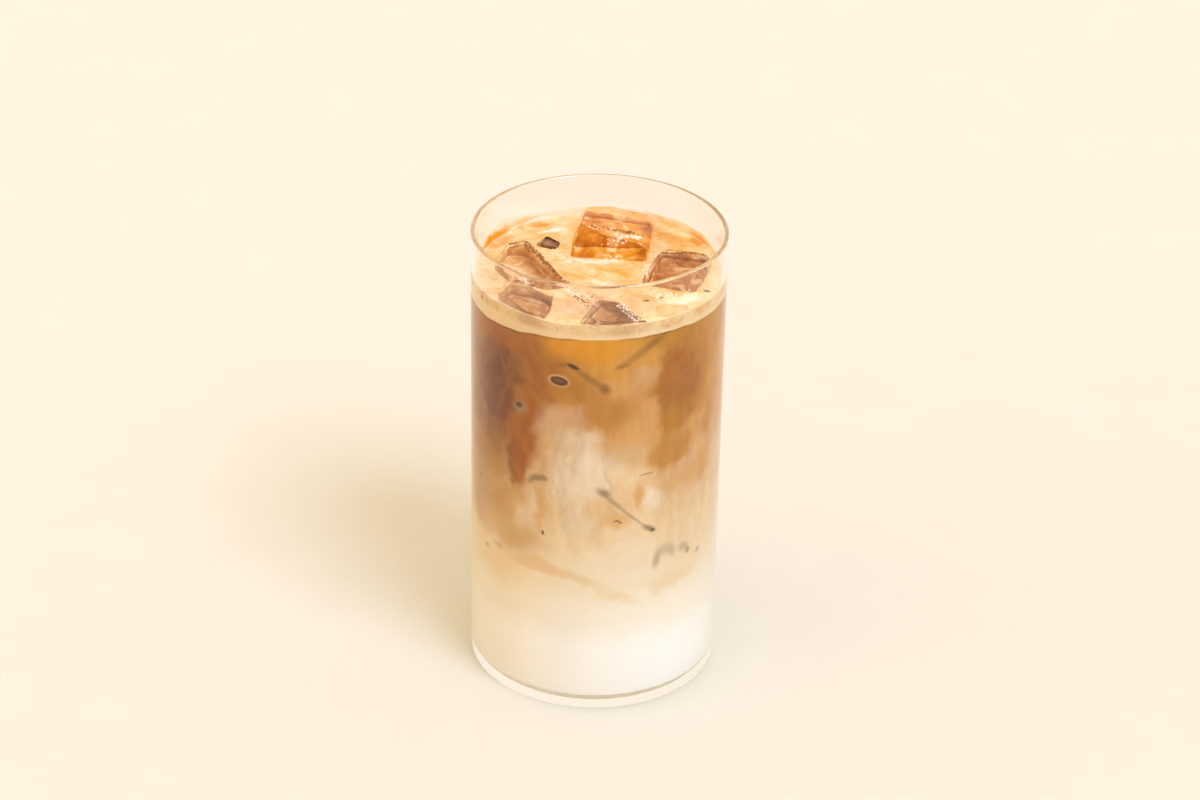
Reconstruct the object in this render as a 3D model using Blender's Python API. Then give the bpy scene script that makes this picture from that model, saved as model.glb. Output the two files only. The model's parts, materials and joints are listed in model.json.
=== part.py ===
"""An iced latte in a straight clear glass: the glass, three layers of drink, and ice that breaks the foam.

Lengths are in metres and +Z is up. The origin is the middle of the face that the glass stands on.
Seen from the front (from -Y), left is -X and right is +X.
"""

import math

import bmesh
import bpy
from mathutils import Euler, Matrix, Vector

# The glass: a straight tumbler with a thick flat floor and a thin fire-polished lip
GLASS_DIAMETER = 0.0740
GLASS_HEIGHT = 0.1415
WALL = 0.0013
FLOOR_THICKNESS = 0.0044
FLOOR_FILLET = 0.0010
HEEL_RADIUS = 0.0018
STANDING_RING_INNER_RADIUS = 0.0270
PUNT_RADIUS = 0.0240
PUNT_DEPTH = 0.0008
GLASS_SIDES = 88
FILLET_STEPS = 4
LIP_STEPS = 6
HEEL_STEPS = 3

# The drink: milk at the bottom, coffee sinking through it, and foam on top
GAP = 0.0003
MILK_LEVEL = 0.0305
POUR_TILT = 0.0030
POUR_ROLL = 0.0012
POUR_WAVES = 2.6
FOAM_BOTTOM = 0.1240
FOAM_TOP = 0.1280
MENISCUS_RISE = 0.0007
MENISCUS_WIDTH = 0.0022
DRINK_SIDES = 64
RING_SHARES = (0.0, 0.36, 0.70, 0.90, 0.94, 0.975, 1.0)

# Faces that meet at more than this many degrees keep a crisp edge, and closer points are one point
CRISP_ANGLE = 35
SAME_POINT = 0.00001

# The ice: cubes from a tray, tapered to leave it, with melted edges and a few broken faces
TRAY_TAPER = 0.94
MELT_RADIUS = 0.0011
MELT_STEPS = 2
ICE_REACH = 0.0343
REACH_SIDES = 48

INSIDE_RADIUS = GLASS_DIAMETER / 2 - WALL
DRINK_RADIUS = INSIDE_RADIUS - GAP


def finish(name, colour, roughness, transmission, ior):
    """A plain shader for one material of the drink."""
    material = bpy.data.materials.new(name)
    material.use_nodes = True
    shader = material.node_tree.nodes["Principled BSDF"]
    shader.inputs["Base Color"].default_value = (*colour, 1.0)
    shader.inputs["Roughness"].default_value = roughness
    shader.inputs["Metallic"].default_value = 0.0
    shader.inputs["Transmission Weight"].default_value = transmission
    shader.inputs["IOR"].default_value = ior
    return material


def place(name, shape, material):
    """Turn a finished shape into a named object of the scene."""
    bmesh.ops.recalc_face_normals(shape, faces=shape.faces)
    mesh = bpy.data.meshes.new(name)
    shape.to_mesh(mesh)
    shape.free()
    mesh.shade_smooth()
    mesh.set_sharp_from_angle(angle=math.radians(CRISP_ANGLE))
    piece = bpy.data.objects.new(name, mesh)
    bpy.context.collection.objects.link(piece)
    if material:
        mesh.materials.append(material)
    return piece


def arc(centre_radius, centre_height, radius, start, end, steps):
    """Points of a turned profile along an arc, with its angles in degrees from the +radius direction."""
    points = []
    for step in range(steps + 1):
        angle = math.radians(start + (end - start) * step / steps)
        points.append((centre_radius + radius * math.cos(angle), centre_height + radius * math.sin(angle)))
    return points


def turned(profile, sides):
    """Spin a profile of (radius, height) points round Z into a closed shape."""
    shape = bmesh.new()
    points = [shape.verts.new((radius, 0.0, height)) for radius, height in profile]
    edges = [shape.edges.new(pair) for pair in zip(points, points[1:])]
    bmesh.ops.spin(
        shape,
        geom=points + edges,
        axis=(0.0, 0.0, 1.0),
        cent=(0.0, 0.0, 0.0),
        steps=sides,
        angle=math.tau,
        use_merge=True,
    )
    bmesh.ops.remove_doubles(shape, verts=shape.verts, dist=SAME_POINT)
    return shape


def make_glass(material):
    """The glass, as one profile from the middle of its inside floor, over the lip and down to its foot."""
    outside = GLASS_DIAMETER / 2
    lip_radius = WALL / 2
    fillet_centre = INSIDE_RADIUS - FLOOR_FILLET
    profile = [(0.0, FLOOR_THICKNESS)]
    profile += arc(fillet_centre, FLOOR_THICKNESS + FLOOR_FILLET, FLOOR_FILLET, -90, 0, FILLET_STEPS)
    profile += arc(outside - lip_radius, GLASS_HEIGHT - lip_radius, lip_radius, 180, 0, LIP_STEPS)
    profile += arc(outside - HEEL_RADIUS, HEEL_RADIUS, HEEL_RADIUS, 0, -90, HEEL_STEPS)
    profile += [(STANDING_RING_INNER_RADIUS, 0.0), (PUNT_RADIUS, PUNT_DEPTH), (0.0, PUNT_DEPTH)]
    return place("glass", turned(profile, GLASS_SIDES), material)


def glass_floor(x, y):
    """Height of the drink's underside, which follows the rounded corner inside the glass."""
    beyond = math.hypot(x, y) - (INSIDE_RADIUS - FLOOR_FILLET)
    corner = FLOOR_FILLET - GAP
    if beyond <= 0:
        return FLOOR_THICKNESS + GAP
    return FLOOR_THICKNESS + FLOOR_FILLET - math.sqrt(max(corner**2 - beyond**2, 0.0))


def pour_line(x, y):
    """Height of the boundary between milk and coffee, which tilts and rolls as the pour left it."""
    across = x / INSIDE_RADIUS
    away = y / INSIDE_RADIUS
    return MILK_LEVEL + POUR_TILT * across + POUR_ROLL * math.sin(POUR_WAVES * away + across)


def foam_surface(x, y):
    """Height of the foam, flat but for the rim where it climbs the wall."""
    climb = (math.hypot(x, y) - (DRINK_RADIUS - MENISCUS_WIDTH)) / MENISCUS_WIDTH
    return FOAM_TOP + MENISCUS_RISE * max(climb, 0.0) ** 2


def make_layer(name, floor, ceiling, material):
    """A layer of drink that fills the glass between two height functions."""
    radii = [share * DRINK_RADIUS for share in RING_SHARES]
    profile = [(radius, 1.0) for radius in radii] + [(radius, 0.0) for radius in reversed(radii)]
    shape = turned(profile, DRINK_SIDES)
    for vert in shape.verts:
        level = ceiling if vert.co.z > 0.5 else floor
        vert.co.z = level(vert.co.x, vert.co.y)
    return place(name, shape, material)


def ice_shape(size, cuts, grow):
    """A tapered cube with broken faces and melted edges, every face moved out by grow."""
    shape = bmesh.new()
    bmesh.ops.create_cube(shape, size=1.0)
    for vert in shape.verts:
        narrowing = TRAY_TAPER if vert.co.z < 0 else 1.0
        side_signs = [math.copysign(1.0, value) for value in vert.co]
        half = [size[0] / 2 * narrowing, size[1] / 2 * narrowing, size[2] / 2]
        vert.co = Vector([sign * (length + grow) for sign, length in zip(side_signs, half)])
    for azimuth, elevation, distance in cuts:
        turn = Euler((0.0, math.radians(-elevation), math.radians(azimuth)))
        facing = Vector((1.0, 0.0, 0.0))
        facing.rotate(turn)
        cut = bmesh.ops.bisect_plane(
            shape,
            geom=shape.verts[:] + shape.edges[:] + shape.faces[:],
            plane_co=facing * (distance + grow),
            plane_no=facing,
            clear_outer=True,
        )
        rim = [item for item in cut["geom_cut"] if isinstance(item, bmesh.types.BMEdge)]
        bmesh.ops.edgeloop_fill(shape, edges=rim)
    bmesh.ops.bevel(
        shape,
        geom=shape.edges[:],
        offset=MELT_RADIUS,
        segments=MELT_STEPS,
        profile=0.5,
        affect="EDGES",
        clamp_overlap=True,
    )
    return shape


def keep_inside(piece, limit):
    """Melt away whatever of the ice would press on the glass."""
    trim = piece.modifiers.new("melted to the glass", "BOOLEAN")
    trim.operation = "INTERSECT"
    trim.object = limit


def make_guide(name, shape, collection):
    """A cutter that shapes other pieces and isn't part of the drink."""
    guide = place(name, shape, None)
    guide.hide_render = True
    guide.display_type = "WIRE"
    bpy.context.collection.objects.unlink(guide)
    collection.objects.link(guide)
    return guide


def reach_shape(radius):
    """A round column as wide as the ice may reach."""
    shape = bmesh.new()
    bmesh.ops.create_cone(
        shape,
        cap_ends=True,
        segments=REACH_SIDES,
        radius1=radius,
        radius2=radius,
        depth=GLASS_HEIGHT,
        matrix=Matrix.Translation((0.0, 0.0, GLASS_HEIGHT / 2)),
    )
    return shape


class Ice:
    """One block of ice: its size, the middle of it, its tilt in degrees and the faces broken off it.

    A broken face is a direction in the block's own axes, as azimuth and elevation in degrees, and how far
    the face lies from the middle.
    """

    def __init__(self, name, size, centre, tilt, cuts):
        self.name = name
        self.size = size
        self.centre = centre
        self.tilt = tilt
        self.cuts = cuts

    def settle(self, piece):
        """Put a shape of this block where the block floats."""
        piece.location = self.centre
        piece.rotation_euler = [math.radians(angle) for angle in self.tilt]


ICE_BLOCKS = (
    Ice(
        "ice_left",
        (0.0145, 0.0270, 0.0200),
        (-0.0214, -0.0017, 0.1213),
        (8, -1, 30),
        ((-143, 32, 0.0109), (-142, -3, 0.0091), (54, -12, 0.0122), (131, 4, 0.0095)),
    ),
    Ice(
        "ice_left_front",
        (0.0170, 0.0160, 0.0160),
        (-0.0204, -0.0216, 0.1226),
        (9, 5, -22),
        ((30, 55, 0.0088),),
    ),
    Ice("ice_back", (0.0227, 0.0230, 0.0220), (0.0029, 0.0171, 0.1243), (-5, 10, -6), ((165, 66, 0.0141),)),
    Ice("ice_back_left", (0.0070, 0.0110, 0.0160), (-0.0147, 0.0168, 0.1204), (-9, 4, -20), ()),
    Ice("ice_right", (0.0162, 0.0200, 0.0220), (0.0232, -0.0018, 0.1201), (2, -3, -17), ((-70, 50, 0.0140),)),
    Ice(
        "ice_front",
        (0.0185, 0.0170, 0.0180),
        (0.0052, -0.0300, 0.1208),
        (4, 12, -24),
        ((69, 10, 0.0068), (112, 6, 0.0103)),
    ),
    Ice("ice_front_right", (0.0105, 0.0080, 0.0150), (0.0212, -0.0250, 0.1217), (9, -3, -14), ()),
)


def main():
    """Make the glass and its drink from the foot up, then the ice and the room that it takes."""
    for piece in list(bpy.data.objects):
        bpy.data.objects.remove(piece, do_unlink=True)

    clear_glass = finish("clear_glass", (0.98, 0.98, 0.96), 0.03, 1.0, 1.5)
    clear_ice = finish("clear_ice", (0.95, 0.93, 0.88), 0.08, 1.0, 1.31)
    milk = finish("milk", (0.95, 0.86, 0.72), 0.35, 0.0, 1.35)
    coffee_milk = finish("coffee_milk", (0.52, 0.25, 0.09), 0.3, 0.0, 1.35)
    foam = finish("coffee_foam", (0.88, 0.55, 0.25), 0.5, 0.0, 1.35)

    make_glass(clear_glass)
    make_layer("milk_layer", glass_floor, lambda x, y: pour_line(x, y) - GAP / 2, milk)
    latte = make_layer(
        "marbled_latte",
        lambda x, y: pour_line(x, y) + GAP / 2,
        lambda x, y: FOAM_BOTTOM - GAP / 2,
        coffee_milk,
    )
    crema = make_layer("crema", lambda x, y: FOAM_BOTTOM + GAP / 2, foam_surface, foam)

    guides = bpy.data.collections.new("guides")
    room_for_ice = bpy.data.collections.new("room for ice")
    bpy.context.scene.collection.children.link(guides)
    bpy.context.scene.collection.children.link(room_for_ice)
    ice_limit = make_guide("ice_limit", reach_shape(ICE_REACH), guides)
    room_limit = make_guide("room_limit", reach_shape(ICE_REACH + GAP), guides)
    for block in ICE_BLOCKS:
        ice = place(block.name, ice_shape(block.size, block.cuts, 0.0), clear_ice)
        block.settle(ice)
        keep_inside(ice, ice_limit)
        room = make_guide("room_" + block.name, ice_shape(block.size, block.cuts, GAP), room_for_ice)
        block.settle(room)
        keep_inside(room, room_limit)
    for layer in (latte, crema):
        hollow = layer.modifiers.new("room for the ice", "BOOLEAN")
        hollow.operation = "DIFFERENCE"
        hollow.operand_type = "COLLECTION"
        hollow.collection = room_for_ice


main()
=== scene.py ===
# %% [markdown]
# # An iced latte in a straight clear glass
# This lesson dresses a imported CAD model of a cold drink: a tumbler, cold milk, coffee that sinks
# through it in clouds, foam, and ice that breaks the foam. The CAD parts are the fixed frame.
# Everything here is in metres, in the same place as the CAD, with the foot of the glass at zero.

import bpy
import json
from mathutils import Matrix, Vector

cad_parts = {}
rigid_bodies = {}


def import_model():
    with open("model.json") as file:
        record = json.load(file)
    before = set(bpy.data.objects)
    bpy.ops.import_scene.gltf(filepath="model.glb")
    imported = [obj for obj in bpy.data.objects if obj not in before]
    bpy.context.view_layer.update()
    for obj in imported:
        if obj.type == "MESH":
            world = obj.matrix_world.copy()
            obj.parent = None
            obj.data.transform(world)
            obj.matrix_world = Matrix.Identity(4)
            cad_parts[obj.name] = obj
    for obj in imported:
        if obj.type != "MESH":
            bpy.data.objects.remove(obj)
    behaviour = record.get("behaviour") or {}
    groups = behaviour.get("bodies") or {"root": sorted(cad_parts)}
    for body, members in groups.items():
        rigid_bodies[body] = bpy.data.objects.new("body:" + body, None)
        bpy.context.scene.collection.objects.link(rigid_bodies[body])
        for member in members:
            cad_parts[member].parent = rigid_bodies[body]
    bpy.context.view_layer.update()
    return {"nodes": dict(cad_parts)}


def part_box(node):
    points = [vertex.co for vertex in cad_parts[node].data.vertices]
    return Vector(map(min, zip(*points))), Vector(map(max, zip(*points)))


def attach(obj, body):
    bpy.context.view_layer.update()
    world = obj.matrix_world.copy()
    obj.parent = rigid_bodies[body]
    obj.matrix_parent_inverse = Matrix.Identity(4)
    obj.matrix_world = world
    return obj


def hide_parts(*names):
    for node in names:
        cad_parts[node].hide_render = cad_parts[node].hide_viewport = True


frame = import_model()
print("CAD parts:", ", ".join(sorted(frame["nodes"])))

# %% Tools of Blender that the lesson uses
import json
import math
import random

import bmesh
import bpy
from mathutils import Matrix, Vector, noise
from mathutils.bvhtree import BVHTree

MM = 0.001
TURN = math.tau

# %% [markdown]
# ## Colours and shader nodes
# A colour picked from a screen is sRGB, which is stored with a curve. Shaders work with light,
# which is linear, so one function undoes that curve. Another adds a node with its settings and
# links, and every finish below is built from calls to it.

# %% One function for colour and one for nodes
SRGB_TOE = 0.04045
SRGB_TOE_SLOPE = 12.92
SRGB_OFFSET = 0.055
SRGB_POWER = 2.4


def linear(hex_colour):
    """Turn '#RRGGBB' into the linear colour that a shader wants."""
    channels = []
    for start in (1, 3, 5):
        value = int(hex_colour[start:start + 2], 16) / 255
        if value <= SRGB_TOE:
            channels.append(value / SRGB_TOE_SLOPE)
        else:
            channels.append(((value + SRGB_OFFSET) / (1 + SRGB_OFFSET)) ** SRGB_POWER)
    return (*channels, 1.0)


def add_node(material, kind, inputs=None, **settings):
    """Add a node, set its properties, and fill its sockets with values or links."""
    tree = material.node_tree
    node = tree.nodes.new(kind)
    for name, value in settings.items():
        setattr(node, name, value)
    for socket, value in (inputs or {}).items():
        if isinstance(value, bpy.types.NodeSocket):
            tree.links.new(value, node.inputs[socket])
        else:
            node.inputs[socket].default_value = value
    return node


def new_material(name):
    """An empty node material and its output node."""
    material = bpy.data.materials.new(name)
    material.use_nodes = True
    material.node_tree.nodes.clear()
    return material, add_node(material, "ShaderNodeOutputMaterial")


print("cream as light:", [round(value, 3) for value in linear("#FCF4E1")])

# %% [markdown]
# ## Sizes
# These lengths repeat the ones that the CAD was made from, so that a dressed piece sits exactly
# where its plain solid is. The drink is allowed to reach a little way into the glass wall: a real
# liquid touches glass with no air between, and without air there is no false reflection.

# %% Lengths of the glass and the levels of the drink
GLASS_LOW, GLASS_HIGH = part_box("glass")
OUTSIDE_RADIUS = GLASS_HIGH.x
GLASS_HEIGHT = GLASS_HIGH.z
WALL = 1.3 * MM
INSIDE_RADIUS = OUTSIDE_RADIUS - WALL
FLOOR_THICKNESS = 4.4 * MM
FLOOR_FILLET = 1.0 * MM
HEEL_RADIUS = 1.8 * MM
STANDING_RING_INNER_RADIUS = 27.0 * MM
PUNT_RADIUS = 24.0 * MM
PUNT_DEPTH = 0.8 * MM
WALL_REACH = 0.15 * MM
DRINK_RADIUS = INSIDE_RADIUS + WALL_REACH
MILK_LEVEL = 30.5 * MM
FOAM_TOP = 128.0 * MM
print(f"glass {2000 * OUTSIDE_RADIUS:.1f} mm across and {1000 * GLASS_HEIGHT:.1f} mm high")

# %% [markdown]
# ## Mesh helpers
# A tumbler and the layers in it are round, so each comes from a profile that is spun about the
# upright axis. Each finished mesh is handed on as an object that rides on the one body of the part.

# %% Spin a profile, and hand a finished mesh on
SAME_POINT = 0.001 * MM
CRISP_ANGLE = 35


def arc(centre_radius, centre_height, radius, start, end, steps):
    """Points of a profile along an arc, with angles in degrees from straight outwards."""
    points = []
    for step in range(steps + 1):
        angle = math.radians(start + (end - start) * step / steps)
        points.append((centre_radius + radius * math.cos(angle), centre_height + radius * math.sin(angle)))
    return points


def turned(profile, sides):
    """Spin (radius, height) points round the upright axis into a closed shape."""
    shape = bmesh.new()
    points = [shape.verts.new((radius, 0.0, height)) for radius, height in profile]
    edges = [shape.edges.new(pair) for pair in zip(points, points[1:])]
    bmesh.ops.spin(
        shape,
        geom=points + edges,
        axis=(0.0, 0.0, 1.0),
        cent=(0.0, 0.0, 0.0),
        steps=sides,
        angle=TURN,
        use_merge=True,
    )
    bmesh.ops.remove_doubles(shape, verts=shape.verts, dist=SAME_POINT)
    return shape


def piece_from(name, shape, material, crisp_angle=CRISP_ANGLE):
    """Turn a bmesh into an object with smooth faces, crisp only where they meet at a sharp angle."""
    bmesh.ops.recalc_face_normals(shape, faces=shape.faces)
    mesh = bpy.data.meshes.new(name)
    shape.to_mesh(mesh)
    shape.free()
    mesh.shade_smooth()
    mesh.set_sharp_from_angle(angle=math.radians(crisp_angle))
    piece = bpy.data.objects.new(name, mesh)
    bpy.context.scene.collection.objects.link(piece)
    if material:
        mesh.materials.append(material)
    return piece


def apply_modifiers(piece):
    """Replace a piece's mesh by the one that its modifiers give."""
    seen = bpy.context.evaluated_depsgraph_get()
    shaped = bpy.data.meshes.new_from_object(piece.evaluated_get(seen))
    old_mesh = piece.data
    piece.modifiers.clear()
    piece.data = shaped
    bpy.data.meshes.remove(old_mesh)
    return piece


def on_the_part(piece):
    """Let a finished piece ride on the part's one body, and print how many faces it has."""
    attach(piece, "root")
    print(f"{piece.name}: {len(piece.data.polygons)} faces")
    return piece


# %% [markdown]
# ## The glass
# A machine-blown tumbler: an even thin wall, a heavy flat floor, and a lip melted round by flame.
# The profile is one closed line from the middle of the inside floor, over the lip, to the foot.
# Many sides keep the silhouette round where light bends through it, and an extra point close to
# each end of a straight stretch keeps its shading straight, so that it doesn't bend light there.

# %% Clear soda-lime glass
# Soda-lime glass has an IOR near 1.5, and flame polishing leaves it smooth. It gives the eye thin
# pale lines at the lip and foot and hardly any colour. Cycles would make a full shadow under glass,
# so shadow rays pass straight through instead.
# The photograph shows weaker reflections than bare glass gives, as through a polarising filter, so
# the specular level is under its usual 0.5.
GLASS_IOR = 1.5
GLASS_ROUGHNESS = 0.0
FILTERED_SHINE = 0.14
RIPPLE_SPACING = 9.0 * MM
RIPPLE_STRENGTH = 0.02
RIPPLE_DEPTH = 0.05 * MM


def clear_body(name, tint, ior, roughness, shine, shadow_tint, relief):
    """A see-through solid: it bends light, and shadow rays pass through it."""
    material, output = new_material(name)
    shader = add_node(
        material,
        "ShaderNodeBsdfPrincipled",
        {
            "Base Color": linear(tint),
            "Roughness": roughness,
            "IOR": ior,
            "Specular IOR Level": shine,
            "Transmission Weight": 1.0,
        },
    )
    if relief:
        material.node_tree.links.new(relief(material), shader.inputs["Normal"])
    passing = add_node(material, "ShaderNodeBsdfTransparent", {"Color": linear(shadow_tint)})
    path = add_node(material, "ShaderNodeLightPath")
    both = add_node(
        material,
        "ShaderNodeMixShader",
        {0: path.outputs["Is Shadow Ray"], 1: shader.outputs[0], 2: passing.outputs[0]},
    )
    material.node_tree.links.new(both.outputs[0], output.inputs["Surface"])
    return material


def faint_ripple(material):
    """The slight waviness that a mould leaves in a pressed or blown wall."""
    place = add_node(material, "ShaderNodeTexCoord")
    waves = add_node(
        material,
        "ShaderNodeTexNoise",
        {"Vector": place.outputs["Object"], "Scale": 1 / RIPPLE_SPACING, "Detail": 1.0},
    )
    bump = add_node(
        material,
        "ShaderNodeBump",
        {"Strength": RIPPLE_STRENGTH, "Distance": RIPPLE_DEPTH, "Height": waves.outputs[0]},
    )
    return bump.outputs[0]


soda_lime_glass = clear_body(
    "soda_lime_glass", "#FFFEFB", GLASS_IOR, GLASS_ROUGHNESS, FILTERED_SHINE, "#FBF8F0", faint_ripple
)

# %% Spin the tumbler
GLASS_SIDES = 256
FILLET_STEPS = 10
LIP_STEPS = 14
HEEL_STEPS = 8
HOLD = 0.2 * MM
outside = OUTSIDE_RADIUS
lip_radius = WALL / 2
wall_start = FLOOR_THICKNESS + FLOOR_FILLET
wall_end = GLASS_HEIGHT - lip_radius
glass_profile = [(0.0, FLOOR_THICKNESS), (INSIDE_RADIUS - FLOOR_FILLET - HOLD, FLOOR_THICKNESS)]
glass_profile += arc(INSIDE_RADIUS - FLOOR_FILLET, wall_start, FLOOR_FILLET, -90, 0, FILLET_STEPS)
glass_profile += [(INSIDE_RADIUS, wall_start + HOLD), (INSIDE_RADIUS, wall_end - HOLD)]
glass_profile += arc(outside - lip_radius, wall_end, lip_radius, 180, 0, LIP_STEPS)
glass_profile += [(outside, wall_end - HOLD), (outside, HEEL_RADIUS + HOLD)]
glass_profile += arc(outside - HEEL_RADIUS, HEEL_RADIUS, HEEL_RADIUS, 0, -90, HEEL_STEPS)
glass_profile += [(outside - HEEL_RADIUS - HOLD, 0.0), (STANDING_RING_INNER_RADIUS + HOLD, 0.0)]
glass_profile += [(STANDING_RING_INNER_RADIUS, 0.0), (PUNT_RADIUS, PUNT_DEPTH), (0.0, PUNT_DEPTH)]
tumbler = piece_from("tumbler", turned(glass_profile, GLASS_SIDES), soda_lime_glass)
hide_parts("glass")
on_the_part(tumbler)

# %% [markdown]
# ## Where things are on the wall
# The drink is looked at through a round wall, so its pattern is drawn on that wall unrolled: one
# axis is the way round, in millimetres of wall, and the other is the height. Zero is the front.
# Noises of three sizes push every point about a little: the broad one bends the clouds and the
# fine ones fray their edges, because cold milk and coffee never meet in a clean line.

# %% Unroll the wall and fray it
SWIRLS = (
    # size of the swirl, push in millimetres, seed
    (26.0 * MM, 3.5, 2.0),
    (9.0 * MM, 6.5, 7.0),
    (3.5 * MM, 3.4, 11.0),
)
MIDDLE_OF_NOISE = 0.5


def frayed(material, where, size, push, seed):
    """A push of up to half of `push` millimetres each way, from noise of one size."""
    swirl = add_node(
        material,
        "ShaderNodeTexNoise",
        {"Vector": where, "W": seed, "Scale": 1 / size, "Detail": 2.0, "Roughness": 0.55},
        noise_dimensions="4D",
    )
    centred = add_node(
        material,
        "ShaderNodeVectorMath",
        {0: swirl.outputs["Color"], 1: (MIDDLE_OF_NOISE, MIDDLE_OF_NOISE, MIDDLE_OF_NOISE)},
        operation="SUBTRACT",
    )
    return add_node(
        material,
        "ShaderNodeVectorMath",
        {0: centred.outputs[0], "Scale": push},
        operation="SCALE",
    ).outputs[0]


def unrolled_wall(material):
    """(millimetres round the wall, millimetres up, 0), the same frayed, and the place in space."""
    where = add_node(material, "ShaderNodeTexCoord").outputs["Object"]
    parts = add_node(material, "ShaderNodeSeparateXYZ", {0: where})
    towards_front = add_node(
        material, "ShaderNodeMath", {0: parts.outputs["Y"], 1: -1.0}, operation="MULTIPLY"
    )
    turn = add_node(
        material,
        "ShaderNodeMath",
        {0: parts.outputs["X"], 1: towards_front.outputs[0]},
        operation="ARCTAN2",
    )
    round_wall = add_node(
        material,
        "ShaderNodeMath",
        {0: turn.outputs[0], 1: OUTSIDE_RADIUS / MM},
        operation="MULTIPLY",
    )
    up = add_node(material, "ShaderNodeMath", {0: parts.outputs["Z"], 1: 1 / MM}, operation="MULTIPLY")
    flat = add_node(
        material, "ShaderNodeCombineXYZ", {"X": round_wall.outputs[0], "Y": up.outputs[0]}
    ).outputs[0]
    ragged = flat
    for size, push, seed in SWIRLS:
        ragged = add_node(
            material,
            "ShaderNodeVectorMath",
            {0: ragged, 1: frayed(material, where, size, push, seed)},
            operation="ADD",
        ).outputs[0]
    return flat, ragged, where


# %% [markdown]
# ## Milk and coffee
# Coffee is poured over cold milk. Where it has sunk, it hangs in brown columns; where milk has
# been drawn up, it stands in pale clouds. Each cloud below is one soft oval on the unrolled wall,
# laid over the ones before it, like washes of watercolour. Ovals were chosen over one big noise
# because the real clouds have places, and the frayed coordinates hide that they are ovals.

# %% The colours of the drink
MILK_WHITE = "#FBF5E2"
WARM_MILK = "#F5EACD"
CREAM = "#F2E0B9"
PALE_PEACH = "#EFD5A4"
SAND = "#E7C58D"
CLOUD = "#F0DDB8"
CLOUD_SHADE = "#DDBB88"
PINK_HAZE = "#D8B080"
TAN = "#CFA561"
HONEY = "#DCA55A"
LIGHT_AMBER = "#DB9C36"
AMBER = "#E29A00"
CARAMEL = "#C88C38"
BROWN_SUGAR = "#BC7A08"
RUST = "#AC6000"
COFFEE = "#7C3E00"
WEAK_COFFEE = "#935800"
OLD_GOLD = "#B48000"

SOFT_EDGE = 1.25
ALL_DEPTHS = 1000.0


class Plume:
    """A soft oval of one colour: where it is, how big, how far it leans and how strong it is.

    Its middle is in degrees round from the front and millimetres up, its half sizes are in
    millimetres, and it leans anticlockwise by so many degrees.
    """

    def __init__(self, colour, azimuth, height, half_width, half_height, lean=0, strength=1.0, soft=0.9):
        self.colour = colour
        self.middle = (math.radians(azimuth) * OUTSIDE_RADIUS / MM, height, 0.0)
        self.half_size = (half_width * SOFT_EDGE, half_height * SOFT_EDGE, ALL_DEPTHS)
        self.lean = math.radians(lean)
        self.strength = strength
        self.soft = soft

    def lay_over(self, material, wall, below):
        """Mix this plume over the colour below it and return the new colour."""
        local = add_node(
            material,
            "ShaderNodeMapping",
            {
                "Vector": wall,
                "Location": self.middle,
                "Rotation": (0.0, 0.0, self.lean),
                "Scale": self.half_size,
            },
            vector_type="TEXTURE",
        )
        oval = add_node(
            material, "ShaderNodeTexGradient", {"Vector": local.outputs[0]}, gradient_type="SPHERICAL"
        )
        edge = add_node(
            material,
            "ShaderNodeMapRange",
            {"Value": oval.outputs["Fac"], "From Max": self.soft, "To Max": self.strength},
            interpolation_type="SMOOTHSTEP",
        )
        mixed = add_node(
            material,
            "ShaderNodeMix",
            {0: edge.outputs[0], 6: below, 7: linear(self.colour)},
            data_type="RGBA",
        )
        return mixed.outputs[2]


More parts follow.
